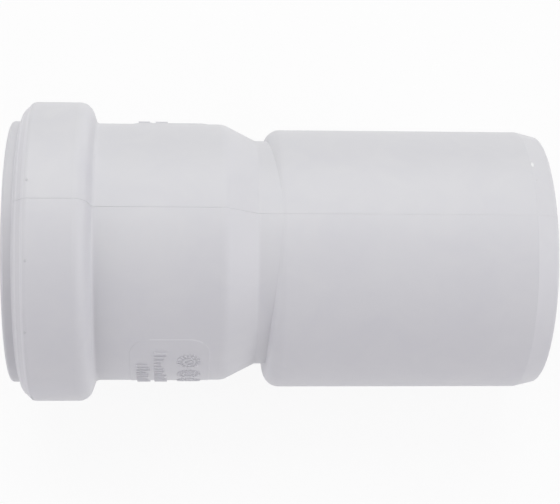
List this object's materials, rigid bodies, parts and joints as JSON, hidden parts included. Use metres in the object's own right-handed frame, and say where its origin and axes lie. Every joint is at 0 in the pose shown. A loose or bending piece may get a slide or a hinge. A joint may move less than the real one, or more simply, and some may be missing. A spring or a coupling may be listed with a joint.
{
  "type": "push-fit waste reducer",
  "caption": "White moulded push-fit reducing coupling: a beaded socket with a lip seal and retaining cap at one end, and a plain off-centre spigot with a lead-in chamfer at the other.",
  "frame": {"origin": "on the socket's axis, at the ledge that stops the pipe", "axes": "+X along the axes to the spigot's end, +Z to the level side, where the neck and the spigot are flush"},
  "size_m": [0.0828, 0.0468, 0.0468],
  "materials": {
    "body": "satin moulded white",
    "cap": "satin moulded white",
    "seal": "matt black"
  },
  "bodies": {
    "fitting": {"reducer_body": "body"},
    "cap": {"retaining_cap": "cap"},
    "seal": {"lip_seal": "seal"}
  },
  "joints": [
    {"name": "cap_pull", "type": "slide", "parent": "fitting", "child": "cap", "axis": [-1, 0, 0], "range_m": [0, 0.03]},
    {"name": "seal_lift", "type": "slide", "parent": "fitting", "child": "seal", "axis": [-1, 0, 0], "range_m": [0, 0.015]}
  ],
  "couplings": [
    {"joint": "seal_lift", "follows": "cap_pull", "ratio": 0.5}
  ]
}
